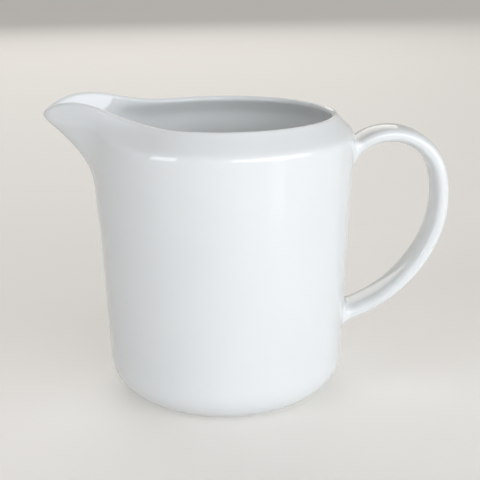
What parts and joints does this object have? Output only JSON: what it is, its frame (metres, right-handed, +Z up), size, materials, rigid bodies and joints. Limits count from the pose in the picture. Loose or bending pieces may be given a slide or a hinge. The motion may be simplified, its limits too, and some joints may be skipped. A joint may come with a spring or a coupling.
{
  "type": "milk jug",
  "caption": "Straight-sided porcelain milk jug with a sloped shoulder, a raised pouring spout and a flat strap handle.",
  "frame": {"origin": "centre of the round foot, on the table plane", "axes": "+Z up along the body's axis, +X towards the handle, -X towards the spout, +Y across"},
  "size_m": [0.1315, 0.084, 0.0979],
  "materials": {
    "porcelain": "glossy"
  },
  "bodies": {
    "root": {"jug": "porcelain"}
  },
  "joints": []
}
